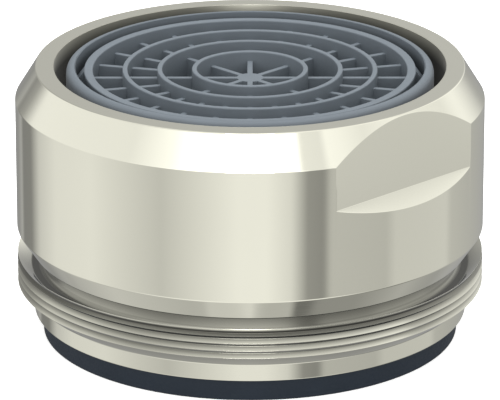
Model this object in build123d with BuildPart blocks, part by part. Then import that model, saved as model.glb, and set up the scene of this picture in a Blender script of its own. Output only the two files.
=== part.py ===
"""Tap aerator: a turned brass housing with a male thread, a sealing washer and a plastic insert.

The part stands on its sealing washer, inlet down and outlet up. Z is the flow axis and points from
the inlet to the outlet, Z = 0 is the washer's underside, and the spanner flats face +X and -X.
All sizes are in millimetres and all angles in degrees.
"""

import os
from math import cos, floor, radians, sin, tan

from build123d import *

os.makedirs("parts", exist_ok=True)

# Housing: the body and the thread share one outside diameter
nominal_d = 24.0
overall_height = 14.16
body_wall = 2.0  # from the outlet bore to the body's outside
rim_width = 0.95  # flat ring round the outlet
rim_chamfer_height = 1.69
foot_chamfer_depth = 0.8
foot_chamfer_height = 1.18

# Housing: spanner flats, each ending in a shelf that slopes down and outwards
flat_depth = 1.0  # leaves 22 across the flats
flat_height = 3.95
shelf_slope = 30.0

# Housing: thread collar, the relief groove behind it, and the inlet mouth
thread_length = 1.55
thread_lead_height = 0.66
neck_wall = 0.66  # from the outlet bore to the neck above the thread
neck_gap = 0.24  # from the thread's upper end to the foot chamfer
groove_depth = 0.68  # below the thread's upper end
groove_floor_width = 0.64
shank_step = 0.85  # from the thread's outside to the plain shank
shank_height = 0.88
mouth_wall = 0.4

# Sealing washer, strainer and jet plate, stacked in the mouth
washer_height = 1.6
washer_width = 2.1
washer_seat = 0.4  # how far it sits in the mouth
stack_clearance = 0.05
strainer_thickness = 0.4
slot_width = 0.7
slot_length = 2.4
plate_thickness = 0.8
jet_side = 1.0
jet_count = 12  # with a slot to each
jet_circle_d = 12.0

# Insert body: a sleeve with air notches at its foot, centring ribs and an outlet lip
air_gap = 0.62  # open ring round the sleeve that lets air in
insert_wall = 0.47
lip_recess = 0.12  # lip below the housing's rim
lip_chamfer = 0.33
notch_count = 8
notch_width = 3.2
notch_height = 2.0
centring_rib_count = 4
centring_rib_width = 0.8
centring_rib_height = 2.4
centring_clearance = 0.1

# Mixing grid: a ring with parallel bars, on legs that stand on the jet plate
grid_clearance = 0.05
mixing_height = 2.4
mixing_ring_wall = 0.7
bar_width = 0.5
bar_pitch = 2.2
leg_count = 4
leg_width = 1.6

# Outlet grid: concentric rings that stand above the ribs joining them
grid_recess = 0.155  # ring tops below the lip
outlet_grid_height = 4.0
outer_ring_gap = 0.445  # from the sleeve's bore to the outer ring
outer_ring_width = 0.45
ring_width = 0.26
ring_pitch = 1.77
inner_ring_count = 3
rib_width = 0.28
rib_recess = 0.5
hub_d = 1.36
centre_rib_count = 8
outer_rib_count = 24
lug_count = 4
lug_width = 0.82
lug_recess = 0.07  # lug tops below the ring tops
lug_slope = 53.0  # downwards, towards the sleeve
insert_turn = 0.85  # how the insert happens to lie in the housing, from the X axis

# Radii, from the outside inwards
nominal_r = nominal_d / 2
flat_x = nominal_r - flat_depth
foot_r = nominal_r - foot_chamfer_depth
shank_r = nominal_r - shank_step
mouth_r = shank_r - mouth_wall
stack_r = mouth_r - stack_clearance
washer_bore_r = stack_r - washer_width
bore_r = nominal_r - body_wall
rim_r = bore_r + rim_width
neck_r = bore_r + neck_wall
groove_wall_r = neck_r + groove_floor_width
centring_r = bore_r - centring_clearance
sleeve_r = bore_r - air_gap
sleeve_bore_r = sleeve_r - insert_wall
grid_r = sleeve_bore_r - grid_clearance
outer_ring_r = sleeve_bore_r - outer_ring_gap
outer_ring_bore_r = outer_ring_r - outer_ring_width
ring_bore_radii = [outer_ring_bore_r - ring_pitch * (i + 1) for i in range(inner_ring_count)]

# Heights, from the washer's underside
mouth_z = washer_height - washer_seat
shank_top_z = mouth_z + shank_height
lead_top_z = shank_top_z + thread_lead_height
thread_top_z = lead_top_z + thread_length
groove_z = thread_top_z - groove_depth
neck_top_z = thread_top_z + neck_gap
foot_top_z = neck_top_z + foot_chamfer_height
rim_z = overall_height
body_top_z = rim_z - rim_chamfer_height
shelf_z = rim_z - flat_height
plate_z = washer_height + strainer_thickness
shoulder_z = plate_z + plate_thickness
lip_z = rim_z - lip_recess
ring_top_z = lip_z - grid_recess
outlet_grid_z = ring_top_z - outlet_grid_height
mixing_z = outlet_grid_z - mixing_height


def radial_plane(angle):
    """The upright plane through the flow axis, with its X pointing outwards at this angle."""
    outwards = (cos(radians(angle)), sin(radians(angle)), 0)
    return Plane((0, 0, 0), x_dir=outwards, z_dir=(outwards[1], -outwards[0], 0))


# Housing: one turned piece with two milled flats
with BuildPart() as housing:
    with BuildSketch(Plane.XZ):
        with BuildLine():
            Polyline(
                (mouth_r, mouth_z),
                (shank_r, mouth_z),
                (shank_r, shank_top_z),
                (nominal_r, lead_top_z),
                (nominal_r, thread_top_z),
                (groove_wall_r, groove_z),
                (neck_r, groove_z),
                (neck_r, neck_top_z),
                (foot_r, neck_top_z),
                (nominal_r, foot_top_z),
                (nominal_r, body_top_z),
                (rim_r, rim_z),
                (bore_r, rim_z),
                (bore_r, shoulder_z),
                (mouth_r, shoulder_z),
                close=True,
            )
        make_face()
    revolve(axis=Axis.Z)
    shelf_drop = 2 * flat_depth * tan(radians(shelf_slope))
    with BuildSketch(Plane.XZ):
        with BuildLine():
            Polyline(
                (flat_x, rim_z + flat_depth),
                (flat_x, shelf_z),
                (flat_x + 2 * flat_depth, shelf_z - shelf_drop),
                (flat_x + 2 * flat_depth, rim_z + flat_depth),
                close=True,
            )
        make_face()
        mirror(about=Plane.YZ)
    extrude(amount=nominal_r, both=True, mode=Mode.SUBTRACT)
housing.part.label = "housing"
export_step(housing.part, "parts/housing.step")

# Sealing washer: a flat rubber ring partly sunk in the mouth
with BuildPart() as sealing_washer:
    with BuildSketch():
        Circle(stack_r)
        Circle(washer_bore_r, mode=Mode.SUBTRACT)
    extrude(amount=washer_height)
sealing_washer.part.label = "sealing_washer"
export_step(sealing_washer.part, "parts/sealing_washer.step")

# Strainer: a slotted disc that the washer holds against the jet plate
with BuildPart() as strainer:
    with BuildSketch(Plane.XY.offset(washer_height)):
        Circle(stack_r)
        with PolarLocations(jet_circle_d / 2, jet_count):
            Rectangle(slot_length, slot_width, mode=Mode.SUBTRACT)
    extrude(amount=strainer_thickness)
strainer.part.label = "strainer"
export_step(strainer.part, "parts/strainer.step")

# Jet plate: rests on the housing's shoulder and splits the water into jets
with BuildPart() as jet_plate:
    with BuildSketch(Plane.XY.offset(plate_z)):
        Circle(stack_r)
        with PolarLocations(jet_circle_d / 2, jet_count):
            Rectangle(jet_side, jet_side, mode=Mode.SUBTRACT)
    extrude(amount=plate_thickness)
jet_plate.part.label = "jet_plate"
export_step(jet_plate.part, "parts/jet_plate.step")

# Insert body: a sleeve that stands on the jet plate, clear of the bore but for its centring ribs
with BuildPart() as insert_body:
    with BuildSketch(Plane.XY.offset(shoulder_z)):
        Circle(sleeve_r)
        Circle(sleeve_bore_r, mode=Mode.SUBTRACT)
    extrude(amount=lip_z - shoulder_z)
    lip_edge = insert_body.edges().group_by(Axis.Z)[-1].sort_by(SortBy.RADIUS)[-1]
    chamfer(lip_edge, lip_chamfer)
    with BuildSketch(Plane.XY.offset(shoulder_z)):
        with PolarLocations(sleeve_r, notch_count):
            Rectangle(notch_width, notch_width)
    extrude(amount=notch_height, mode=Mode.SUBTRACT)
    rib_start_r = sleeve_r - insert_wall / 2
    with BuildSketch(Plane.XY.offset(shoulder_z)):
        with PolarLocations((rib_start_r + centring_r) / 2, centring_rib_count, 180 / notch_count):
            Rectangle(centring_r - rib_start_r, centring_rib_width)
    extrude(amount=centring_rib_height)
insert_body.part.label = "insert_body"
export_step(insert_body.part, "parts/insert_body.step")

# Mixing grid: parallel bars in a ring, held off the jet plate by legs
with BuildPart() as mixing_grid:
    mixing_bore_r = grid_r - mixing_ring_wall
    bars_each_side = floor(mixing_bore_r / bar_pitch)
    with BuildSketch(Plane.XY.offset(mixing_z)):
        Circle(grid_r)
        Circle(mixing_bore_r, mode=Mode.SUBTRACT)
    with BuildSketch(Plane.XY.offset(mixing_z)):
        with GridLocations(bar_pitch, 0, 2 * bars_each_side + 1, 1):
            Rectangle(bar_width, 2 * grid_r)
        Circle(grid_r - mixing_ring_wall / 2, mode=Mode.INTERSECT)
    extrude(amount=mixing_height)
    with BuildSketch(Plane.XY.offset(shoulder_z)):
        with PolarLocations(grid_r - mixing_ring_wall / 2, leg_count, 180 / notch_count):
            Rectangle(2 * mixing_ring_wall, leg_width)
        Circle(grid_r, mode=Mode.INTERSECT)
    extrude(amount=mixing_z - shoulder_z)
mixing_grid.part.label = "mixing_grid"
export_step(mixing_grid.part, "parts/mixing_grid.step")

# Outlet grid: rings, lower ribs and a hub, centred by sloping lugs on the outer ring
with BuildPart() as outlet_grid:
    with BuildSketch(Plane.XY.offset(outlet_grid_z)):
        Circle(outer_ring_r)
        Circle(outer_ring_bore_r, mode=Mode.SUBTRACT)
        for ring_bore_r in ring_bore_radii:
            Circle(ring_bore_r + ring_width)
            Circle(ring_bore_r, mode=Mode.SUBTRACT)
    extrude(amount=outlet_grid_height)
    spread_r = ring_bore_radii[-2] + ring_width / 2  # here the centre ribs give way to closer ones
    outer_rib_end_r = outer_ring_r - outer_ring_width / 2
    with BuildSketch(Plane.XY.offset(outlet_grid_z)):
        Circle(hub_d / 2)
        with PolarLocations(spread_r / 2, centre_rib_count, insert_turn):
            Rectangle(spread_r, rib_width)
        with PolarLocations((spread_r + outer_rib_end_r) / 2, outer_rib_count, insert_turn):
            Rectangle(outer_rib_end_r - spread_r, rib_width)
    extrude(amount=outlet_grid_height - rib_recess)
    lug_top_z = ring_top_z - lug_recess
    lug_drop = (grid_r - outer_ring_r) * tan(radians(lug_slope))
    for lug in range(lug_count):
        with BuildSketch(radial_plane(insert_turn + (lug + 0.5) * 360 / lug_count)):
            with BuildLine():
                Polyline(
                    (outer_rib_end_r, outlet_grid_z),
                    (grid_r, outlet_grid_z),
                    (grid_r, lug_top_z - lug_drop),
                    (outer_ring_r, lug_top_z),
                    (outer_rib_end_r, lug_top_z),
                    close=True,
                )
            make_face()
        extrude(amount=lug_width / 2, both=True)
outlet_grid.part.label = "outlet_grid"
export_step(outlet_grid.part, "parts/outlet_grid.step")
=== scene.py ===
"""Dresses the tap aerator's solids with turned metal, rubber and moulded plastic, and lights them.

Z is the flow axis, from the inlet to the outlet, and Z = 0 is the sealing washer's underside.
The spanner flats face +X and -X. Lengths are in metres, and each new piece is a numpy surface.
"""

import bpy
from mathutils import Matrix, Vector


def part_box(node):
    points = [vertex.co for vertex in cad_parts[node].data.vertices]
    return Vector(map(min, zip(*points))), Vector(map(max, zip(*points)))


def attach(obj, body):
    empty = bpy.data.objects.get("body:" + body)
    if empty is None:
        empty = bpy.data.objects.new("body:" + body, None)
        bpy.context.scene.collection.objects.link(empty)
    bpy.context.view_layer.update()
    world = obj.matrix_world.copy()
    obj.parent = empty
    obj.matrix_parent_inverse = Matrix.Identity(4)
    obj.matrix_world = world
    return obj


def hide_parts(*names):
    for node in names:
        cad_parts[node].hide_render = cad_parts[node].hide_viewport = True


bl_info = {
    "name": "Tap aerator",
    "version": (1, 0, 0),
    "blender": (4, 5, 0),
    "location": "3D view, sidebar, Aerator tab",
    "description": "Builds the dressed tap aerator over its solids, with a small studio",
    "category": "Object",
}

from math import acos, asin, cos, pi, radians, sin, tan

import bmesh
import bpy
import numpy as np
from bpy.props import FloatProperty, FloatVectorProperty, IntProperty, PointerProperty

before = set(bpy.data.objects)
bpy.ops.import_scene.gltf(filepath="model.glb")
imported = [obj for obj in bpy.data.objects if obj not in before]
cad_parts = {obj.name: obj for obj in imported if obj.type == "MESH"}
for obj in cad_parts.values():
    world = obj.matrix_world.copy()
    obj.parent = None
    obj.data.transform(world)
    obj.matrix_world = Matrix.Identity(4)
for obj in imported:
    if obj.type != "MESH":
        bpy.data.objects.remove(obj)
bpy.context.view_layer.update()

# Places that the solids give
MM = 0.001
WASHER_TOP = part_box("sealing_washer")[1][2]
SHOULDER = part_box("insert_body")[0][2]
INSERT_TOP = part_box("insert_body")[1][2]
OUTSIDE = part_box("housing")[1][0]
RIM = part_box("housing")[1][2]
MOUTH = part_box("housing")[0][2]
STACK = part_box("sealing_washer")[1][0]
INNER_NODES = ("strainer", "jet_plate", "mixing_grid")

# How fine the meshes are
HOUSING_COLUMNS = 360
WASHER_COLUMNS = 240
SLEEVE_COLUMNS = 240
RING_COLUMNS = 180
HUB_COLUMNS = 72
SHARP_ANGLE = radians(22)
MERGE_DISTANCE = 2e-7
LEAST_EDGE = 1e-8
TINY = 1e-9
# A face's shading point lies this many breaks from the corner
PAST_BREAK = 1.05
# No even column comes nearer to the end of a flat
FLAT_END_MARGIN = radians(0.3)
# Half the angle over which the sleeve's section steps
STEP_HALF = radians(0.15)
# Keeps the faces of two shells out of one plane
HAIR = 0.004 * MM

# The root under the thread's upper edge, and a point part of the way from it to that edge
LAST_ROOT_DEPTH = 0.2 * MM
LAST_ROOT_DROP = 0.28 * MM
UNDER_EDGE = 0.4
# Ribs reach into the hub's radius and the ring's width by these shares
HUB_REACH = 0.6
RING_LAP = 0.2

# Painted shade, from 0 in the open to 1 deep in a recess: darkening put into the colour where shade falls
SHADE_DEPTH = 0.9 * MM
CREST_SHADE = 0.28
ROOT_SHADE = 0.74
# Painted shade in the gap round the outlet grid
GAP_SHADE = 0.85
GAP_MARGIN = 0.01 * MM
# Painted shade at the edges where a flat meets its shelf
FLAT_SHADE = 0.05
SHELF_SHADE = 0.14
FLAT_EDGE = 0.06 * MM
SHELF_EDGE = 0.1 * MM
WALL_MARGIN = 0.02 * MM
FLAT_MARGIN = 0.01 * MM

# Sockets of a Mix node that mixes colours
MIX_SHARE = 0
MIX_FIRST = 6
MIX_SECOND = 7
MIX_RESULT = 2

# Noise: cells to a metre along each axis, and the band that holds most of its values
NOISE_LOW = 0.3
NOISE_HIGH = 0.7
FINE_DETAIL = 2.0
NICKEL_CLOUD = (160, 160, 160)
NICKEL_LINES = (60, 60, 24000)
PLASTIC_CLOUD = (700, 700, 700)
PLASTIC_PITS = (14000, 14000, 14000)
RUBBER_CLOUD = (500, 500, 500)
RUBBER_PORES = (9000, 9000, 9000)
FLOOR_CLOUD = (9, 9, 9)

# Finishes: shares of a colour, roughness, and the strength and depth in metres of the bumps
NICKEL_SHADES = (0.98, 1.02)
# Share of the metal's colour where shade is painted darkest
NICKEL_PAINTED_SHADE = (0.025, 0.035)
NICKEL_BUMP = (0.06, 2e-6)
LINE_ROUGHNESS = 0.02
RECESS_ROUGHNESS = 0.3
BORE_ROUGHNESS = 0.48
BORE_MARGIN = 0.02 * MM
QUARTER_TURN = 0.25
PLASTIC_SHADES = (0.94, 1.06)
# Share of the plastic's colour where shade is painted darkest
PLASTIC_PAINTED_SHADE = (0.1, 0.12)
PLASTIC_ROUGHNESS = (0.5, 0.62)
PLASTIC_BUMP = (0.25, 6e-6)
PLASTIC_GLOSS = 0.45
RUBBER_SHADES = (0.85, 1.15)
RUBBER_ROUGHNESS = (0.55, 0.7)
RUBBER_BUMP = (0.3, 8e-6)
RUBBER_GLOSS = 0.2
FLOOR_SHADES = ((0.88, 0.88, 0.87), (0.92, 0.92, 0.91))
FLOOR_ROUGHNESS = 0.9

# Studio
FLOOR_HALF = 3.0
SOFT_BOX_SIDE = 0.2
SOFT_BOX_HEIGHT = 0.35
STRIP_WIDTH = 0.15
STRIP_HEIGHT = 0.35
STRIP_DISTANCE = 0.4
STRIP_ELEVATION = radians(30)
SENSOR_WIDTH = 36
NEAR_CLIP = 0.01

# The tent's storeys: brightness by azimuth from the camera, in degrees to the right
TENT_FOOT = ((-180, 0.62), (-90, 0.64), (-65, 0.76), (30, 0.78), (60, 0.7), (85, 0.5), (180, 0.62))
TENT_FLOOR = (
    (-180, 0.41),
    (-168, 0.33),
    (-150, 0.45),
    (-130, 0.62),
    (-104, 0.5),
    (-88, 0.62),
    (-55, 1.0),
    (55, 1.0),
    (86, 0.3),
    (91, 0.19),
    (104, 0.17),
    (107, 0.31),
    (120, 0.31),
    (137, 0.46),
    (152, 0.33),
    (168, 0.33),
    (180, 0.41),
)
TENT_WALLS = (
    (-180, 0.3),
    (-160, 0.3),
    (-152, 0.42),
    (-148, 0.24),
    (-136, 0.26),
    (-126, 0.66),
    (-110, 0.84),
    (-84, 0.88),
    (-44, 0.62),
    (-6, 0.98),
    (8, 0.98),
    (20, 0.8),
    (28, 0.34),
    (36, 0.3),
    (40, 0.57),
    (70, 0.54),
    (76, 0.66),
    (112, 0.68),
    (117, 0.56),
    (160, 0.42),
    (180, 0.3),
)
TENT_ROOF = (
    (-180, 0.54),
    (-152, 0.4),
    (-141, 0.5),
    (-130, 0.98),
    (-120, 0.98),
    (-67, 0.95),
    (-45, 1.25),
    (-28, 1.8),
    (26, 1.8),
    (30, 0.96),
    (41, 0.92),
    (45, 1.15),
    (53, 1.1),
    (67, 0.95),
    (88, 1.08),
    (104, 0.96),
    (118, 0.92),
    (130, 1.1),
    (147, 1.12),
    (170, 0.65),
    (180, 0.54),
)
TENT_TOP = (
    (-180, 1.2),
    (-128, 1.05),
    (-113, 0.9),
    (-95, 0.74),
    (-68, 0.9),
    (0, 1.16),
    (68, 1.06),
    (95, 1.16),
    (113, 1.45),
    (126, 0.8),
    (150, 0.8),
    (165, 1.2),
    (180, 1.2),
)
# Each storey takes over from the one below between two elevations, in degrees
TENT_STOREYS = (
    (-81, -78.5, TENT_FLOOR),
    (-45, -30, TENT_WALLS),
    (-7, 13, TENT_ROOF),
    (44, 52, TENT_TOP),
)
# A ramp's colours end at 1, so a ramp holds this share of the brightness
RAMP_SHARE = 0.5


def length(name, words, millimetres):
    """A length property, stored in metres."""
    return FloatProperty(name=name, description=words, default=millimetres * MM, unit="LENGTH", precision=5)


def angle(name, words, degrees):
    """An angle property, stored in radians."""
    return FloatProperty(name=name, description=words, default=radians(degrees), subtype="ANGLE")


def number(name, words, value):
    """A whole number from 1 up."""
    return IntProperty(name=name, description=words, default=value, min=1)


def strength(name, words, value):
    """A strength or a power from 0 up."""
    return FloatProperty(name=name, description=words, default=value, min=0)


def factor(name, words, value):
    """A share from 0 to 1."""
    return FloatProperty(name=name, description=words, default=value, min=0, max=1, subtype="FACTOR")


def colour(name, words, rgb):
    """A colour property, in linear light."""
    return FloatVectorProperty(
        name=name, description=words, default=rgb, subtype="COLOR", size=3, min=0, max=1
    )


class HousingSizes(bpy.types.PropertyGroup):
    """Sizes and finish of the turned housing."""

    body_wall: length("Body wall", "From the outlet bore to the body's outside", 2.0)
    rim_width: length("Rim width", "Flat ring round the outlet", 0.95)
    rim_chamfer: length("Rim chamfer height", "Height of the slope below the rim", 1.69)
    foot_depth: length("Foot chamfer depth", "How far the slope at the body's foot goes in", 0.8)
    foot_chamfer: length("Foot chamfer height", "Height of the slope at the body's foot", 1.18)
    flat_depth: length("Flat depth", "How deep each spanner flat is cut", 1.0)
    flat_height: length("Flat height", "From the rim down to a flat's shelf", 3.95)
    shelf_slope: angle("Shelf slope", "Slope of the shelf under a flat", 30)
    thread_length: length("Thread length", "Length of the threaded collar", 1.55)
    thread_lead: length("Thread lead height", "Height of the slope that starts the thread", 0.66)
    ridge_depth: length("Ridge depth", "From a thread crest to its root", 0.24)
    ridge_count: number("Ridges", "Whole ridges on the collar", 4)
    neck_wall: length("Neck wall", "From the outlet bore to the neck over the thread", 0.66)
    neck_gap: length("Neck gap", "From the thread's upper end to the foot chamfer", 0.24)
    groove_depth: length("Groove depth", "Relief groove below the thread's upper end", 0.68)
    groove_floor: length("Groove floor", "Width of the relief groove's floor", 0.64)
    shank_step: length("Shank step", "From the thread's outside to the plain shank", 0.85)
    shank_height: length("Shank height", "Height of the plain shank", 0.88)
    mouth_wall: length("Mouth wall", "Wall round the inlet mouth", 0.4)
    edge_break: length("Edge break", "Rounding of the turned edges", 0.05)
    metal: colour("Metal", "Polished nickel plating", (0.83, 0.82, 0.7))
    roughness: factor("Roughness", "Roughness of the polished plating", 0.06)


class InsertSizes(bpy.types.PropertyGroup):
    """Sizes and finish of the plastic insert and of the washer."""

    air_gap: length("Air gap", "Open ring round the sleeve", 0.62)
    sleeve_wall: length("Sleeve wall", "Wall of the sleeve", 0.47)
    lip_stand: length("Lip stand", "How far the lip stands above its solid", 0.08)
    lip_round: length("Lip round", "Rounding of the lip's outer edge", 0.42)
    notch_count: number("Air notches", "Notches at the sleeve's foot", 8)
    notch_width: length("Notch width", "Width of an air notch", 3.2)
    notch_height: length("Notch height", "Height of an air notch", 2.0)
    rib_count: number("Centring ribs", "Ribs outside the sleeve", 4)
    rib_width: length("Centring rib width", "Width of a centring rib", 0.8)
    rib_height: length("Centring rib height", "Height of a centring rib", 2.4)
    rib_clearance: length("Centring clearance", "From a centring rib to the bore", 0.1)
    ring_stand: length("Ring stand", "How far the rings stand above their solid", 0.05)
    ring_gap: length("Ring gap", "From the sleeve's bore to the outer ring", 0.445)
    outer_ring_width: length("Outer ring width", "Thickness of the outer ring", 0.45)
    ring_width: length("Ring width", "Thickness of an inner ring", 0.26)
    ring_pitch: length("Ring pitch", "From one ring's bore to the next", 1.77)
    ring_count: number("Inner rings", "Rings inside the outer one", 3)
    spoke_width: length("Rib width", "Width of the ribs between the rings", 0.28)
    spoke_recess: length("Rib recess", "Rib tops below the ring tops", 0.5)
    hub_width: length("Hub diameter", "Diameter of the hub", 1.36)
    centre_ribs: number("Centre ribs", "Ribs from the hub", 8)
    outer_ribs: number("Outer ribs", "Ribs between the outer rings", 24)
    lug_count: number("Lugs", "Lugs on the outer ring", 4)
    lug_width: length("Lug width", "Width of a lug", 0.82)
    lug_recess: length("Lug recess", "Lug tops below the ring tops", 0.07)
    lug_slope: angle("Lug slope", "Slope of a lug's top", 53)
    lug_clearance: length("Lug clearance", "From a lug to the sleeve's bore", 0.05)
    turn: angle("Turn", "How the insert lies", 0.85)
    moulded_round: length("Moulded edges", "Rounding of the moulded edges", 0.04)
    washer_width: length("Washer width", "From the washer's bore to its outside", 2.1)
    washer_round: length("Washer edges", "Rounding of the washer's edges", 0.05)
    plastic: colour("Plastic", "Moulded blue-grey plastic", (0.15, 0.175, 0.198))
    rubber: colour("Rubber", "Black rubber", (0.012, 0.018, 0.027))


class StudioSettings(bpy.types.PropertyGroup):
    """Camera and light."""

    azimuth: angle("Azimuth", "Camera's side", 45.85)
    elevation: angle("Elevation", "Camera above the floor", 19.765)
    distance: length("Distance", "From the camera to its target", 250.14)
    target_height: length("Target height", "Height that the camera looks at", 6.775)
    lens: FloatProperty(name="Lens", description="Focal length in millimetres", default=349.76, min=1)
    tent: strength("Tent light", "Strength of the light tent", 1.0)
    top_light: strength("Top light", "Power of the soft box overhead, in watts", 0.7)
    strip_light: strength("Strip light", "Power of the strip over the camera, in watts", 1.0)
    floor_glow: strength("Floor glow", "Light given off by the floor", 0.6)


def even_angles(columns):
    """Angles spread evenly round a circle."""
    return np.arange(columns) * 2 * pi / columns


def turn_from(angles, middles):
    """Each angle as it is seen from each of the middles, from -pi to pi."""
    return (angles[:, None] - middles + pi) % (2 * pi) - pi


def between(angles, middles, half):
    """True for the angles within half of one of the middles."""
    return (np.abs(turn_from(angles, middles)) < half).any(axis=1)


def angles_clear_of(edges, columns, margin):
    """Even angles, without those within the margin of an edge."""
    even = even_angles(columns)
    return even[~between(even, edges, margin)]


def radial(angles):
    """Unit vectors outwards at these angles."""
    return np.stack([np.cos(angles), np.sin(angles), 0 * angles], axis=-1)


def tangent(angles):
    """Unit vectors along the circle at these angles."""
    return np.stack([-np.sin(angles), np.cos(angles), 0 * angles], axis=-1)


def section(table, columns):
    """Corners, breaks and painted shades of a closed section, one section to a column.

    A row of the table is a corner's radius, height and break, and the shades before and after it. A radius
    or a height is one number, or one for each column.
    """
    corners = [[np.broadcast_to(value, columns) for value in row[:2]] for row in table]
    breaks = [row[2] for row in table]
    shades = np.array([row[3:] for row in table])
    return np.array(corners).transpose(2, 0, 1), breaks, shades


def turned_edges(corners, breaks, steps=5, most=0.4):
    """Breaks the corners of closed profiles, one profile to a column.

    A corner turns into the parabola corner + t((1 - s)^2 a + s^2 b) for s from 0 to 1. Here a and b point
    to the neighbouring corners and t is the edge break, at most this share of either edge. A point a little
    further along each edge keeps the shading of the long faces straight.
    """
    to_last = np.roll(corners, 1, axis=-2) - corners
    to_next = np.roll(corners, -1, axis=-2) - corners
    last_reach = np.linalg.norm(to_last, axis=-1, keepdims=True)
    next_reach = np.linalg.norm(to_next, axis=-1, keepdims=True)
    a = (to_last / np.maximum(last_reach, TINY * MM))[..., None, :]
    b = (to_next / np.maximum(next_reach, TINY * MM))[..., None, :]
    t = np.minimum(np.asarray(breaks)[:, None], most * np.minimum(last_reach, next_reach))[..., None, :]
    s = np.linspace(0, 1, steps + 1)[:, None]
    arcs = corners[..., None, :] + t * ((1 - s) ** 2 * a + s**2 * b)
    before = corners[..., None, :] + PAST_BREAK * t * a
    after = corners[..., None, :] + PAST_BREAK * t * b
    rows = np.concatenate([before, arcs, after], axis=-2)
    return rows.reshape(*rows.shape[:-3], -1, 2)


def shade_rows(shades, profiles):
    """The painted shade of each vertex of profiles with broken corners.

    Round a corner, it goes evenly from the shade before the corner to the one after it.
    """
    columns, rows = profiles.shape[:2]
    share = np.linspace(0, 1, rows // len(shades))
    return np.tile((shades[:, :1] + (shades[:, 1:] - shades[:, :1]) * share).reshape(-1), columns)


def around(profiles, angles):
    """Carries profiles of (r, z) round the flow axis: (r cos u, r sin u, z), one profile to an angle u."""
    r = profiles[..., 0]
    z = profiles[..., 1]
    u = angles[:, None]
    return np.stack([r * np.cos(u), r * np.sin(u), z], axis=-1)


def closed_grid(points, close_rows=True):
    """A shell of quads on a grid that closes round its columns and, for a loop profile, along its rows."""
    columns, rows = points.shape[:2]
    spans = rows if close_rows else rows - 1
    i, j = np.meshgrid(np.arange(columns), np.arange(spans), indexing="ij")
    k = (i + 1) % columns
    m = (j + 1) % rows
    quads = np.stack([i * rows + j, k * rows + j, k * rows + m, i * rows + m], axis=-1)
    return points.reshape(-1, 3), [quads.reshape(-1, 4)]


def turned_ring(corners, breaks, columns, close_rows=True):
    """A shell that is the same all round: a profile of (r, z) with broken corners, turned about Z."""
    profile = turned_edges(np.array([corners]), breaks)
    profiles = np.broadcast_to(profile, (columns, *profile.shape[1:]))
    return closed_grid(around(profiles, even_angles(columns)), close_rows)


def prisms(profile, ends, across, run):
    """A shell of straight bars, one to a direction.

    A bar is p across + q up + e run, for each (p, q) of the profile and each end e.
    """
    up = np.array([0.0, 0.0, 1.0])
    p = profile[None, None, :, 0, None] * across[:, None, None, :]
    q = profile[None, None, :, 1, None] * up
    e = np.asarray(ends)[None, :, None, None] * run[:, None, None, :]
    points = p + q + e
    bars, size = len(across), len(profile)
    bar, corner = np.meshgrid(np.arange(bars), np.arange(size), indexing="ij")
    base = bar * 2 * size
    turn = (corner + 1) % size
    sides = np.stack([base + corner, base + turn, base + size + turn, base + size + corner], axis=-1)
    caps = np.concatenate([(base + corner)[:, ::-1], base + size + corner])
    return points.reshape(-1, 3), [sides.reshape(-1, 4), caps]


def add_object(name, data):
    """A new object in the scene."""
    thing = bpy.data.objects.new(name, data)
    bpy.context.scene.collection.objects.link(thing)
    return thing


def add_piece(name, shells, material, slot, *nodes, shade=None):
    """One object from closed shells, with its doubles merged and its faces outwards, in place of CAD nodes.

    The painted shade, one value to a vertex, goes into the recess attribute, which darkens the material's
    colour.
    """
    vertices = np.concatenate([points for points, _ in shells])
    firsts = np.cumsum([0] + [len(points) for points, _ in shells[:-1]])
    faces = []
    for first, (_, groups) in zip(firsts, shells):
        for group in groups:
            faces += (group + first).tolist()
    mesh = bpy.data.meshes.new(name)
    mesh.from_pydata(vertices, [], faces)
    if shade is not None:
        # The recess attribute holds painted shade for the material
        mesh.attributes.new("recess", "FLOAT", "POINT").data.foreach_set("value", shade)
    work = bmesh.new()
    work.from_mesh(mesh)
    bmesh.ops.remove_doubles(work, verts=work.verts, dist=MERGE_DISTANCE)
    bmesh.ops.dissolve_degenerate(work, edges=work.edges, dist=LEAST_EDGE)
    bmesh.ops.recalc_face_normals(work, faces=work.faces)
    work.to_mesh(mesh)
    work.free()
    mesh.polygons.foreach_set("use_smooth", np.ones(len(mesh.polygons), dtype=bool))
    mesh.set_sharp_from_angle(angle=SHARP_ANGLE)
    mesh.materials.append(material)
    piece = add_object(name, mesh)
    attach(piece, "root")
    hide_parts(*nodes)
    return piece


def new_material(name):
    """A node material, with its tree, its shader and Object coordinates."""
    material = bpy.data.materials.new(name)
    material.use_nodes = True
    tree = material.node_tree
    shader = tree.nodes["Principled BSDF"]
    coordinates = tree.nodes.new("ShaderNodeTexCoord").outputs["Object"]
    return material, tree, shader, coordinates


def grain(tree, coordinates, cells, detail=3.0):
    """Noise with this many cells to a metre along each axis."""
    mapping = tree.nodes.new("ShaderNodeMapping")
    mapping.inputs["Scale"].default_value = cells
    noise = tree.nodes.new("ShaderNodeTexNoise")
    noise.inputs["Scale"].default_value = 1.0
    noise.inputs["Detail"].default_value = detail
    tree.links.new(coordinates, mapping.inputs["Vector"])
    tree.links.new(mapping.outputs["Vector"], noise.inputs["Vector"])
    return noise.outputs["Fac"]


def mix_colours(tree, share, first, second):
    """A colour between two, by the share. Each of the two is a colour or a socket that gives one."""
    mix = tree.nodes.new("ShaderNodeMix")
    mix.data_type = "RGBA"
    tree.links.new(share, mix.inputs[MIX_SHARE])
    for socket, value in ((mix.inputs[MIX_FIRST], first), (mix.inputs[MIX_SECOND], second)):
        if isinstance(value, tuple):
            socket.default_value = (*value, 1)
        else:
            tree.links.new(value, socket)
    return mix.outputs[MIX_RESULT]


def clouded(tree, cloud, rgb, shades):
    """A colour times a share that lies between these two, by the noise."""
    low, high = (tuple(min(1.0, channel * share) for channel in rgb) for share in shades)
    return mix_colours(tree, cloud, low, high)


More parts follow.
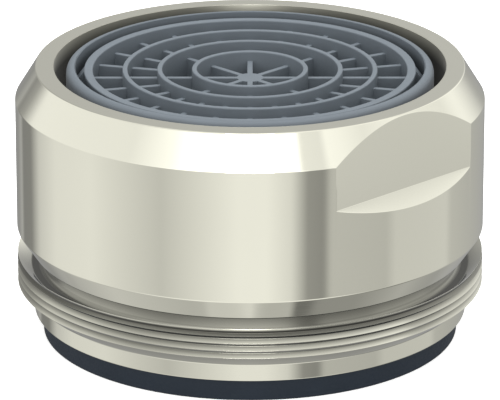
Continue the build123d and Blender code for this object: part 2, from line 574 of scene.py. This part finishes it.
def value_between(tree, noise, low, high):
    """A value between two, by the middle part of a noise."""
    spread = tree.nodes.new("ShaderNodeMapRange")
    spread.inputs["From Min"].default_value = NOISE_LOW
    spread.inputs["From Max"].default_value = NOISE_HIGH
    spread.inputs["To Min"].default_value = low
    spread.inputs["To Max"].default_value = high
    tree.links.new(noise, spread.inputs["Value"])
    return spread.outputs["Result"]


def relief(tree, shader, height, force, depth):
    """Bumps of this depth in metres."""
    bump = tree.nodes.new("ShaderNodeBump")
    bump.inputs["Strength"].default_value = force
    bump.inputs["Distance"].default_value = depth
    tree.links.new(height, bump.inputs["Height"])
    tree.links.new(bump.outputs["Normal"], shader.inputs["Normal"])


def math_node(tree, operation, first, second):
    """A math node with two inputs, each a number or a socket."""
    node = tree.nodes.new("ShaderNodeMath")
    node.operation = operation
    for socket, value in zip(node.inputs, (first, second)):
        if isinstance(value, (int, float)):
            socket.default_value = value
        else:
            tree.links.new(value, socket)
    return node.outputs[0]


def off_axis(tree, coordinates):
    """Distance from the flow axis."""
    axes = tree.nodes.new("ShaderNodeSeparateXYZ")
    tree.links.new(coordinates, axes.inputs[0])
    across = [math_node(tree, "MULTIPLY", axes.outputs[axis], axes.outputs[axis]) for axis in "XY"]
    return math_node(tree, "POWER", math_node(tree, "ADD", *across), 0.5)


def painted_shade_of(tree):
    """The painted shade that the mesh carries in its recess attribute, from 0 in the open to 1 where it is
    darkest.
    """
    attribute = tree.nodes.new("ShaderNodeAttribute")
    attribute.attribute_name = "recess"
    return attribute.outputs["Fac"]


def moulded_skin(tree, shader, coordinates, cells, roughness, bump):
    """Fine pits, with the roughness that they vary and the bumps that they make."""
    pits = grain(tree, coordinates, cells, FINE_DETAIL)
    tree.links.new(value_between(tree, pits, *roughness), shader.inputs["Roughness"])
    relief(tree, shader, pits, *bump)


def polished_nickel(sizes):
    """Turned and polished nickel plating, with very fine lines round the axis.

    Painted shade from the recess attribute darkens the colour and makes it duller. The bore is rougher, and
    its lines draw the reflections out.
    """
    material, tree, shader, coordinates = new_material("polished_nickel")
    shader.inputs["Metallic"].default_value = 1.0
    cloud = grain(tree, coordinates, NICKEL_CLOUD)
    shade = clouded(tree, cloud, sizes.metal, NICKEL_SHADES)
    # Painted shade: the darkened colour that the recess attribute mixes in
    deep = clouded(tree, cloud, sizes.metal, NICKEL_PAINTED_SHADE)
    tree.links.new(mix_colours(tree, painted_shade_of(tree), shade, deep), shader.inputs["Base Color"])
    lines = grain(tree, coordinates, NICKEL_LINES, FINE_DETAIL)
    rough = value_between(tree, lines, sizes.roughness - LINE_ROUGHNESS, sizes.roughness + LINE_ROUGHNESS)
    dull = math_node(tree, "POWER", painted_shade_of(tree), 2.0)
    rough = math_node(tree, "ADD", rough, math_node(tree, "MULTIPLY", dull, RECESS_ROUGHNESS))
    bore = OUTSIDE - sizes.body_wall + BORE_MARGIN
    inside = math_node(tree, "LESS_THAN", off_axis(tree, coordinates), bore)
    rough = math_node(tree, "ADD", rough, math_node(tree, "MULTIPLY", inside, BORE_ROUGHNESS))
    tree.links.new(rough, shader.inputs["Roughness"])
    tree.links.new(inside, shader.inputs["Anisotropic"])
    shader.inputs["Anisotropic Rotation"].default_value = QUARTER_TURN
    relief(tree, shader, lines, *NICKEL_BUMP)
    return material


def moulded_plastic(sizes):
    """Matt moulded plastic with a fine eroded texture, with shade painted darker in a recess."""
    material, tree, shader, coordinates = new_material("moulded_plastic")
    shader.inputs["Specular IOR Level"].default_value = PLASTIC_GLOSS
    cloud = grain(tree, coordinates, PLASTIC_CLOUD)
    shade = clouded(tree, cloud, sizes.plastic, PLASTIC_SHADES)
    # Painted shade: the darkened colour that the recess attribute mixes in
    deep = clouded(tree, cloud, sizes.plastic, PLASTIC_PAINTED_SHADE)
    tree.links.new(mix_colours(tree, painted_shade_of(tree), shade, deep), shader.inputs["Base Color"])
    moulded_skin(tree, shader, coordinates, PLASTIC_PITS, PLASTIC_ROUGHNESS, PLASTIC_BUMP)
    return material


def insert_plastic(sizes):
    """The plastic that the insert's pieces share, made once."""
    return bpy.data.materials.get("moulded_plastic") or moulded_plastic(sizes)


def washer_rubber(sizes):
    """Black rubber with a dull moulded skin."""
    material, tree, shader, coordinates = new_material("washer_rubber")
    shader.inputs["Specular IOR Level"].default_value = RUBBER_GLOSS
    cloud = grain(tree, coordinates, RUBBER_CLOUD)
    tree.links.new(clouded(tree, cloud, sizes.rubber, RUBBER_SHADES), shader.inputs["Base Color"])
    moulded_skin(tree, shader, coordinates, RUBBER_PORES, RUBBER_ROUGHNESS, RUBBER_BUMP)
    return material


def thread_ridges(sizes, lead_top, thread_top):
    """Rows of the section for the thread: a crest and a root to each ridge, up to the thread's upper edge.

    The last root is shallower, and a point between it and the edge keeps the painted shade there dark.
    """
    edge = sizes.edge_break
    pitch = sizes.thread_length / sizes.ridge_count
    root = OUTSIDE - sizes.ridge_depth
    rows = []
    for crest in lead_top + pitch * np.arange(sizes.ridge_count):
        rows.append((OUTSIDE, crest, 0.15 * edge, CREST_SHADE, CREST_SHADE))
        rows.append((root, crest + pitch / 2, 0.6 * edge, ROOT_SHADE, ROOT_SHADE))
    last_root = np.array([OUTSIDE - LAST_ROOT_DEPTH, thread_top - LAST_ROOT_DROP])
    under_edge = (1 - UNDER_EDGE) * last_root + UNDER_EDGE * np.array([OUTSIDE, thread_top])
    rows[-2] = (*rows[-2][:4], ROOT_SHADE)
    rows[-1] = (*last_root, 0.6 * edge, 0.84, 0.95)
    return [*rows, (*under_edge, 0, 0.93, 0.96), (OUTSIDE, thread_top, 2 * edge, 0, 0)]


def housing_section(sizes, angles):
    """The housing's section at each angle, from the inlet mouth up the outside and down the bore.

    The section is turned, so it is the same all round but for the flats. A flat lies at x = flat, so at
    angle u it cuts the section at radius flat / |cos u|. Its shelf drops outwards from there, by tan(slope)
    in x.
    """
    edge = sizes.edge_break
    flat = OUTSIDE - sizes.flat_depth
    foot = OUTSIDE - sizes.foot_depth
    shank = OUTSIDE - sizes.shank_step
    mouth = shank - sizes.mouth_wall
    bore = OUTSIDE - sizes.body_wall
    rim = bore + sizes.rim_width
    neck = bore + sizes.neck_wall
    slope_foot = neck + sizes.groove_floor
    shank_top = MOUTH + sizes.shank_height
    lead_top = shank_top + sizes.thread_lead
    thread_top = lead_top + sizes.thread_length
    groove = thread_top - sizes.groove_depth
    neck_top = thread_top + sizes.neck_gap
    foot_top = neck_top + sizes.foot_chamfer
    shelf = RIM - sizes.flat_height
    slant = np.abs(np.cos(angles))
    cut = np.minimum(OUTSIDE, flat / np.maximum(slant, TINY))
    shelf_end = shelf - np.maximum(OUTSIDE * slant - flat, 0) * tan(sizes.shelf_slope)
    cut_top = RIM - (cut - rim) / (OUTSIDE - rim) * sizes.rim_chamfer
    # Each row: radius, height, break, and the painted shade before and after the corner
    shank_rows = [
        (mouth, MOUTH, edge, 0.45, 0),
        (shank, MOUTH, edge, 0.1, 0.1),
        (shank, shank_top, edge, 0.1, 0.07),
    ]
    groove_rows = [
        (slope_foot, groove, edge, 0.5, 0.93),
        (neck, groove, 5 * edge, 0.93, 0.55),
        (neck, neck_top, edge, 0.84, 0.84),
    ]
    body_rows = [
        (foot, neck_top, 2 * edge, 0.8, 0),
        (OUTSIDE, foot_top, edge, 0, 0),
        (OUTSIDE, shelf_end, 0.5 * edge, 0, 0),
        (cut, shelf, 0.5 * edge, 0, 0),
        (cut, cut_top, 0.5 * edge, 0, 0),
        (rim, RIM, edge, 0, 0),
    ]
    bore_rows = [
        (bore, RIM, 0.3 * edge, 0, 0.55),
        (bore, RIM - SHADE_DEPTH, edge, 0.95, 0.95),
        (bore, SHOULDER, edge, 0.95, 0.95),
        (mouth, SHOULDER, edge, 0.95, 0.95),
    ]
    ridge_rows = thread_ridges(sizes, lead_top, thread_top)
    return section([*shank_rows, *ridge_rows, *groove_rows, *body_rows, *bore_rows], len(angles))


def paint_flat_shade(shade, profile, angles, sizes):
    """Paints shade on the edges where a flat and its shelf meet, where shade falls in the corner, the
    shelf's darker than the flat's.

    A vertex is on these edges if it lies inside the body's wall, near x = flat and near the shelf's height.
    """
    off_flat = np.abs(profile[..., 0] * np.cos(angles)[:, None]) - (OUTSIDE - sizes.flat_depth)
    off_shelf = profile[..., 1] - (RIM - sizes.flat_height)
    milled = profile[..., 0] < OUTSIDE - WALL_MARGIN
    edges = milled & (np.abs(off_flat) < FLAT_EDGE) & (np.abs(off_shelf) < SHELF_EDGE)
    shade[edges.reshape(-1)] = np.where(off_flat[edges] > FLAT_MARGIN, SHELF_SHADE, FLAT_SHADE)


class AERATOR_OT_housing(bpy.types.Operator):
    """Turns the housing with its ridged thread, relief groove, spanner flats and chamfers"""

    bl_idname = "aerator.housing"
    bl_label = "Turn the housing"

    def execute(self, context):
        sizes = context.scene.aerator_housing
        reach = acos((OUTSIDE - sizes.flat_depth) / OUTSIDE)
        ends = np.array([reach, pi - reach, pi + reach, 2 * pi - reach])
        even = angles_clear_of(ends, HOUSING_COLUMNS, FLAT_END_MARGIN)
        angles = np.sort(np.concatenate([even, ends]))
        corners, breaks, shades = housing_section(sizes, angles)
        profile = turned_edges(corners, breaks)
        shell = closed_grid(around(profile, angles))
        # Painted shade in the thread's roots, the groove, the neck and the bore
        shade = shade_rows(shades, profile)
        paint_flat_shade(shade, profile, angles, sizes)
        metal = polished_nickel(sizes)
        piece = add_piece("housing_turned", [shell], metal, "plated_brass", "housing", shade=shade)
        piece.visible_glossy = False
        return {"FINISHED"}


class AERATOR_OT_washer(bpy.types.Operator):
    """Moulds the sealing washer with rounded edges"""

    bl_idname = "aerator.washer"
    bl_label = "Mould the washer"

    def execute(self, context):
        sizes = context.scene.aerator_insert
        bore = STACK - sizes.washer_width
        corners = [(bore, 0), (STACK, 0), (STACK, WASHER_TOP), (bore, WASHER_TOP)]
        shell = turned_ring(corners, [sizes.washer_round] * len(corners), WASHER_COLUMNS)
        rubber = washer_rubber(sizes)
        piece = add_piece("washer_moulded", [shell], rubber, "washer_rubber", "sealing_washer")
        piece.visible_glossy = False
        return {"FINISHED"}


class AERATOR_OT_hidden_plastic(bpy.types.Operator):
    """Gives the strainer, jet plate and mixing grid their moulded plastic"""

    bl_idname = "aerator.hidden_plastic"
    bl_label = "Finish the inner plastic"

    def execute(self, context):
        plastic = insert_plastic(context.scene.aerator_insert)
        for name in INNER_NODES:
            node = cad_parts[name]
            node.data.materials.clear()
            node.data.materials.append(plastic)
        return {"FINISHED"}


class AERATOR_OT_sleeve(bpy.types.Operator):
    """Moulds the insert's sleeve with its lip, air notches and centring ribs"""

    bl_idname = "aerator.sleeve"
    bl_label = "Mould the sleeve"

    def execute(self, context):
        sizes = context.scene.aerator_insert
        housing_bore = OUTSIDE - context.scene.aerator_housing.body_wall
        outer = housing_bore - sizes.air_gap
        inner = outer - sizes.sleeve_wall
        lip = INSERT_TOP + sizes.lip_stand
        rib_top = SHOULDER + sizes.rib_height
        notches = even_angles(sizes.notch_count)
        ribs = even_angles(sizes.rib_count) + pi / sizes.notch_count
        notch_half = asin(sizes.notch_width / 2 / outer)
        rib_half = asin(sizes.rib_width / 2 / outer)
        steps = [notches - notch_half, notches + notch_half, ribs - rib_half, ribs + rib_half]
        edges = np.concatenate(steps) % (2 * pi)
        even = angles_clear_of(edges, SLEEVE_COLUMNS, 3 * STEP_HALF)
        angles = np.sort(np.concatenate([even, edges - STEP_HALF, edges + STEP_HALF]))
        foot = np.where(between(angles, notches, notch_half), SHOULDER + sizes.notch_height, SHOULDER)
        rib = np.where(between(angles, ribs, rib_half), housing_bore - sizes.rib_clearance, outer)
        soft = sizes.moulded_round
        # Each row: radius, height, break, and the painted shade before and after the corner, darker down
        # the walls and on the lip's outer side
        rows = [
            (inner, foot, soft, 0.5, 0.5),
            (rib, foot, soft, 0.5, 0.9),
            (rib, rib_top, soft, 0.9, 0.9),
            (outer, rib_top, 0, 0.9, 0.9),
            (outer, lip - SHADE_DEPTH, 0, 0.9, 0.9),
            (outer, lip, sizes.lip_round, 0.45, 0),
            (inner, lip, soft, 0, 0.1),
            (inner, lip - SHADE_DEPTH, 0, 0.6, 0.6),
        ]
        corners, breaks, shades = section(rows, len(angles))
        profile = turned_edges(corners, breaks, steps=10, most=0.9)
        shell = closed_grid(around(profile, angles))
        shade = shade_rows(shades, profile)
        plastic = insert_plastic(sizes)
        add_piece("sleeve_moulded", [shell], plastic, "insert_plastic", "insert_body", shade=shade)
        return {"FINISHED"}


def grid_rings(sizes, bores, outside, low, high):
    """The outer ring and the inner rings, from the grid's foot to the ring tops."""
    soft = sizes.moulded_round
    wall = high - SHADE_DEPTH
    rims = [outside, *(bores[1:] + sizes.ring_width)]
    breaks = [soft, soft, 0, 2 * soft, 2 * soft]
    shells = []
    for bore, rim in zip(bores, rims):
        corners = [(bore, low), (rim, low), (rim, wall), (rim, high), (bore, high)]
        shells.append(turned_ring(corners, breaks, RING_COLUMNS))
    return shells


def grid_hub_and_ribs(sizes, bores, middle, low, top):
    """The hub, the ribs from it to the second ring, and the ribs from there to the outer ring's middle."""
    soft = sizes.moulded_round
    hub = sizes.hub_width / 2
    corners = [(0, low), (hub, low), (hub, top), (0, top)]
    shells = [turned_ring(corners, [0, soft, soft, 0], HUB_COLUMNS, close_rows=False)]
    half = sizes.spoke_width / 2
    rib_foot = low + HAIR
    rib_top = top - HAIR
    bar = np.array([[(-half, rib_foot), (half, rib_foot), (half, rib_top), (-half, rib_top)]])
    bar = turned_edges(bar, [0, 0, soft, soft])[0]
    spread = bores[-2] + sizes.ring_width / 2
    lap = RING_LAP * sizes.ring_width
    spans = [
        (sizes.centre_ribs, HUB_REACH * hub, spread + lap),
        (sizes.outer_ribs, spread - lap, middle),
    ]
    for ribs, start, end in spans:
        angles = even_angles(ribs) + sizes.turn
        shells.append(prisms(bar, (start, end), tangent(angles), radial(angles)))
    return shells


def grid_lugs(sizes, sleeve_bore, outside, middle, low, high):
    """Lugs from the outer ring's middle towards the sleeve, with tops that slope down outwards."""
    soft = sizes.moulded_round
    foot = low + HAIR
    tip = sleeve_bore - sizes.lug_clearance
    top = high - sizes.lug_recess
    slope_end = top - (tip - outside) * tan(sizes.lug_slope)
    wedge = np.array([[(middle, foot), (tip, foot), (tip, slope_end), (outside, top), (middle, top)]])
    wedge = turned_edges(wedge, [0, soft, soft, 0, 0])[0]
    angles = even_angles(sizes.lug_count) + pi / sizes.lug_count + sizes.turn
    width = sizes.lug_width / 2
    return [prisms(wedge, (-width, width), radial(angles), tangent(angles))]


class AERATOR_OT_outlet_grid(bpy.types.Operator):
    """Moulds the outlet grid: rings that stand above their ribs, a hub and sloping lugs"""

    bl_idname = "aerator.outlet_grid"
    bl_label = "Mould the outlet grid"

    def execute(self, context):
        sizes = context.scene.aerator_insert
        low, high = (corner[2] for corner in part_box("outlet_grid"))
        high += sizes.ring_stand
        housing_bore = OUTSIDE - context.scene.aerator_housing.body_wall
        sleeve_bore = housing_bore - sizes.air_gap - sizes.sleeve_wall
        outside = sleeve_bore - sizes.ring_gap
        middle = outside - sizes.outer_ring_width / 2
        bores = outside - sizes.outer_ring_width - sizes.ring_pitch * np.arange(sizes.ring_count + 1)
        shells = [
            *grid_rings(sizes, bores, outside, low, high),
            *grid_hub_and_ribs(sizes, bores, middle, low, high - sizes.spoke_recess),
            *grid_lugs(sizes, sleeve_bore, outside, middle, low, high),
        ]
        points = np.concatenate([part for part, _ in shells])
        # Painted shade on the outer ring's outside and the lugs, darker further down the gap
        at_gap = np.hypot(points[:, 0], points[:, 1]) > outside - GAP_MARGIN
        shade = np.where(at_gap, GAP_SHADE * np.clip((high - points[:, 2]) / SHADE_DEPTH, 0, 1), 0)
        plastic = insert_plastic(sizes)
        add_piece("grid_moulded", shells, plastic, "insert_plastic", "outlet_grid", shade=shade)
        return {"FINISHED"}


def tent_ramp(tree, turn, stops):
    """A grey level by azimuth, with the whole circle from 0 to 1."""
    ramp = tree.nodes.new("ShaderNodeValToRGB")
    ramp.color_ramp.interpolation = "LINEAR"
    elements = ramp.color_ramp.elements
    while len(elements) < len(stops):
        elements.new(0.5)
    for element, (azimuth, level) in zip(elements, stops):
        grey = RAMP_SHARE * level
        element.position = azimuth / 360 + 0.5
        element.color = (grey, grey, grey, 1)
    tree.links.new(turn, ramp.inputs["Fac"])
    return ramp.outputs["Color"]


def light_tent(settings):
    """A white tent in five storeys, with the bright and dark bands that the metal mirrors.

    Each storey is a ramp by azimuth, and each gives way to the next between two elevations.
    """
    world = bpy.data.worlds.new("light_tent")
    bpy.context.scene.world = world
    world.use_nodes = True
    tree = world.node_tree
    coordinates = tree.nodes.new("ShaderNodeTexCoord").outputs["Generated"]
    mapping = tree.nodes.new("ShaderNodeMapping")
    mapping.inputs["Rotation"].default_value = (0, 0, pi / 2 - settings.azimuth)
    tree.links.new(coordinates, mapping.inputs["Vector"])
    axes = tree.nodes.new("ShaderNodeSeparateXYZ")
    tree.links.new(mapping.outputs["Vector"], axes.inputs[0])
    turn = math_node(tree, "ARCTAN2", axes.outputs["Y"], axes.outputs["X"])
    turn = math_node(tree, "ADD", math_node(tree, "DIVIDE", turn, 2 * pi), 0.5)
    light = tent_ramp(tree, turn, TENT_FOOT)
    for low, high, stops in TENT_STOREYS:
        rise = tree.nodes.new("ShaderNodeMapRange")
        rise.interpolation_type = "SMOOTHSTEP"
        rise.inputs["From Min"].default_value = sin(radians(low))
        rise.inputs["From Max"].default_value = sin(radians(high))
        tree.links.new(axes.outputs["Z"], rise.inputs["Value"])
        light = mix_colours(tree, rise.outputs["Result"], light, tent_ramp(tree, turn, stops))
    background = tree.nodes["Background"]
    background.inputs["Strength"].default_value = settings.tent / RAMP_SHARE
    tree.links.new(light, background.inputs["Color"])


def face_axis(thing, azimuth, elevation, distance, height=0.0):
    """Puts a light or a camera this far from the axis at this height, facing it from this side."""
    flat = distance * cos(elevation)
    thing.location = (flat * sin(azimuth), -flat * cos(azimuth), height + distance * sin(elevation))
    thing.rotation_euler = (pi / 2 - elevation, 0, azimuth)


def area_light(name, width, height, power):
    """A rectangular light."""
    lamp = bpy.data.lights.new(name, "AREA")
    lamp.shape = "RECTANGLE"
    lamp.size = width
    lamp.size_y = height
    lamp.energy = power
    return add_object(name, lamp)


def studio_floor(settings):
    """A pale square under the part, which glows a little but for where the part stands."""
    half = FLOOR_HALF
    corners = np.array([(-half, -half, 0), (half, -half, 0), (half, half, 0), (-half, half, 0)])
    mesh = bpy.data.meshes.new("studio_floor")
    mesh.from_pydata(corners, [], [(0, 1, 2, 3)])
    material, tree, shader, coordinates = new_material("pale_floor")
    shade = mix_colours(tree, grain(tree, coordinates, FLOOR_CLOUD), *FLOOR_SHADES)
    tree.links.new(shade, shader.inputs["Base Color"])
    shader.inputs["Roughness"].default_value = FLOOR_ROUGHNESS
    shader.inputs["Emission Color"].default_value = (1, 1, 1, 1)
    beside = math_node(tree, "GREATER_THAN", off_axis(tree, coordinates), STACK)
    glow = math_node(tree, "MULTIPLY", beside, settings.floor_glow)
    tree.links.new(glow, shader.inputs["Emission Strength"])
    mesh.materials.append(material)
    floor = add_object("studio_floor", mesh)
    floor.visible_glossy = False


def studio_lights(settings):
    """A soft box overhead, and a strip over the camera that lights the housing alone."""
    box = area_light("soft_box", SOFT_BOX_SIDE, SOFT_BOX_SIDE, settings.top_light)
    face_axis(box, 0, pi / 2, SOFT_BOX_HEIGHT)
    box.visible_glossy = False
    strip = area_light("strip_light", STRIP_WIDTH, STRIP_HEIGHT, settings.strip_light)
    face_axis(strip, settings.azimuth, STRIP_ELEVATION, STRIP_DISTANCE)
    strip.visible_diffuse = False
    lit = bpy.data.collections.new("strip_lit")
    lit.objects.link(bpy.data.objects["housing_turned"])
    strip.light_linking.receiver_collection = lit


def studio_camera(settings):
    """A long lens that looks at the part's middle."""
    data = bpy.data.cameras.new("studio_camera")
    data.sensor_fit = "HORIZONTAL"
    data.sensor_width = SENSOR_WIDTH
    data.lens = settings.lens
    data.clip_start = NEAR_CLIP
    camera = add_object("studio_camera", data)
    face_axis(camera, settings.azimuth, settings.elevation, settings.distance, settings.target_height)
    bpy.context.scene.camera = camera


class AERATOR_OT_studio(bpy.types.Operator):
    """Sets up the floor, the light tent, the lights and the camera, once the housing is there"""

    bl_idname = "aerator.studio"
    bl_label = "Set up the studio"

    def execute(self, context):
        settings = context.scene.aerator_studio
        studio_floor(settings)
        light_tent(settings)
        studio_lights(settings)
        studio_camera(settings)
        context.scene.view_settings.view_transform = "Standard"
        return {"FINISHED"}


class AERATOR_PT_sidebar(bpy.types.Panel):
    """Lists the operators that build the aerator's pieces, and their settings"""

    bl_idname = "AERATOR_PT_sidebar"
    bl_label = "Tap aerator"
    bl_space_type = "VIEW_3D"
    bl_region_type = "UI"
    bl_category = "Aerator"

    def draw(self, context):
        for operator in OPERATORS:
            self.layout.operator(operator.bl_idname)
        for name, group in GROUPS.items():
            box = self.layout.box()
            for value in group.__annotations__:
                box.prop(getattr(context.scene, name), value)


OPERATORS = (
    AERATOR_OT_housing,
    AERATOR_OT_washer,
    AERATOR_OT_hidden_plastic,
    AERATOR_OT_sleeve,
    AERATOR_OT_outlet_grid,
    AERATOR_OT_studio,
)
GROUPS = {
    "aerator_housing": HousingSizes,
    "aerator_insert": InsertSizes,
    "aerator_studio": StudioSettings,
}


def register():
    for group in GROUPS.values():
        bpy.utils.register_class(group)
    for name, group in GROUPS.items():
        setattr(bpy.types.Scene, name, PointerProperty(type=group))
    for operator in OPERATORS:
        bpy.utils.register_class(operator)
    bpy.utils.register_class(AERATOR_PT_sidebar)


def unregister():
    bpy.utils.unregister_class(AERATOR_PT_sidebar)
    for operator in reversed(OPERATORS):
        bpy.utils.unregister_class(operator)
    for name in GROUPS:
        delattr(bpy.types.Scene, name)
    for group in reversed(GROUPS.values()):
        bpy.utils.unregister_class(group)


def main():
    register()
    bpy.ops.aerator.housing()
    bpy.ops.aerator.washer()
    bpy.ops.aerator.hidden_plastic()
    bpy.ops.aerator.sleeve()
    bpy.ops.aerator.outlet_grid()
    bpy.ops.aerator.studio()


if __name__ == "__main__":
    main()
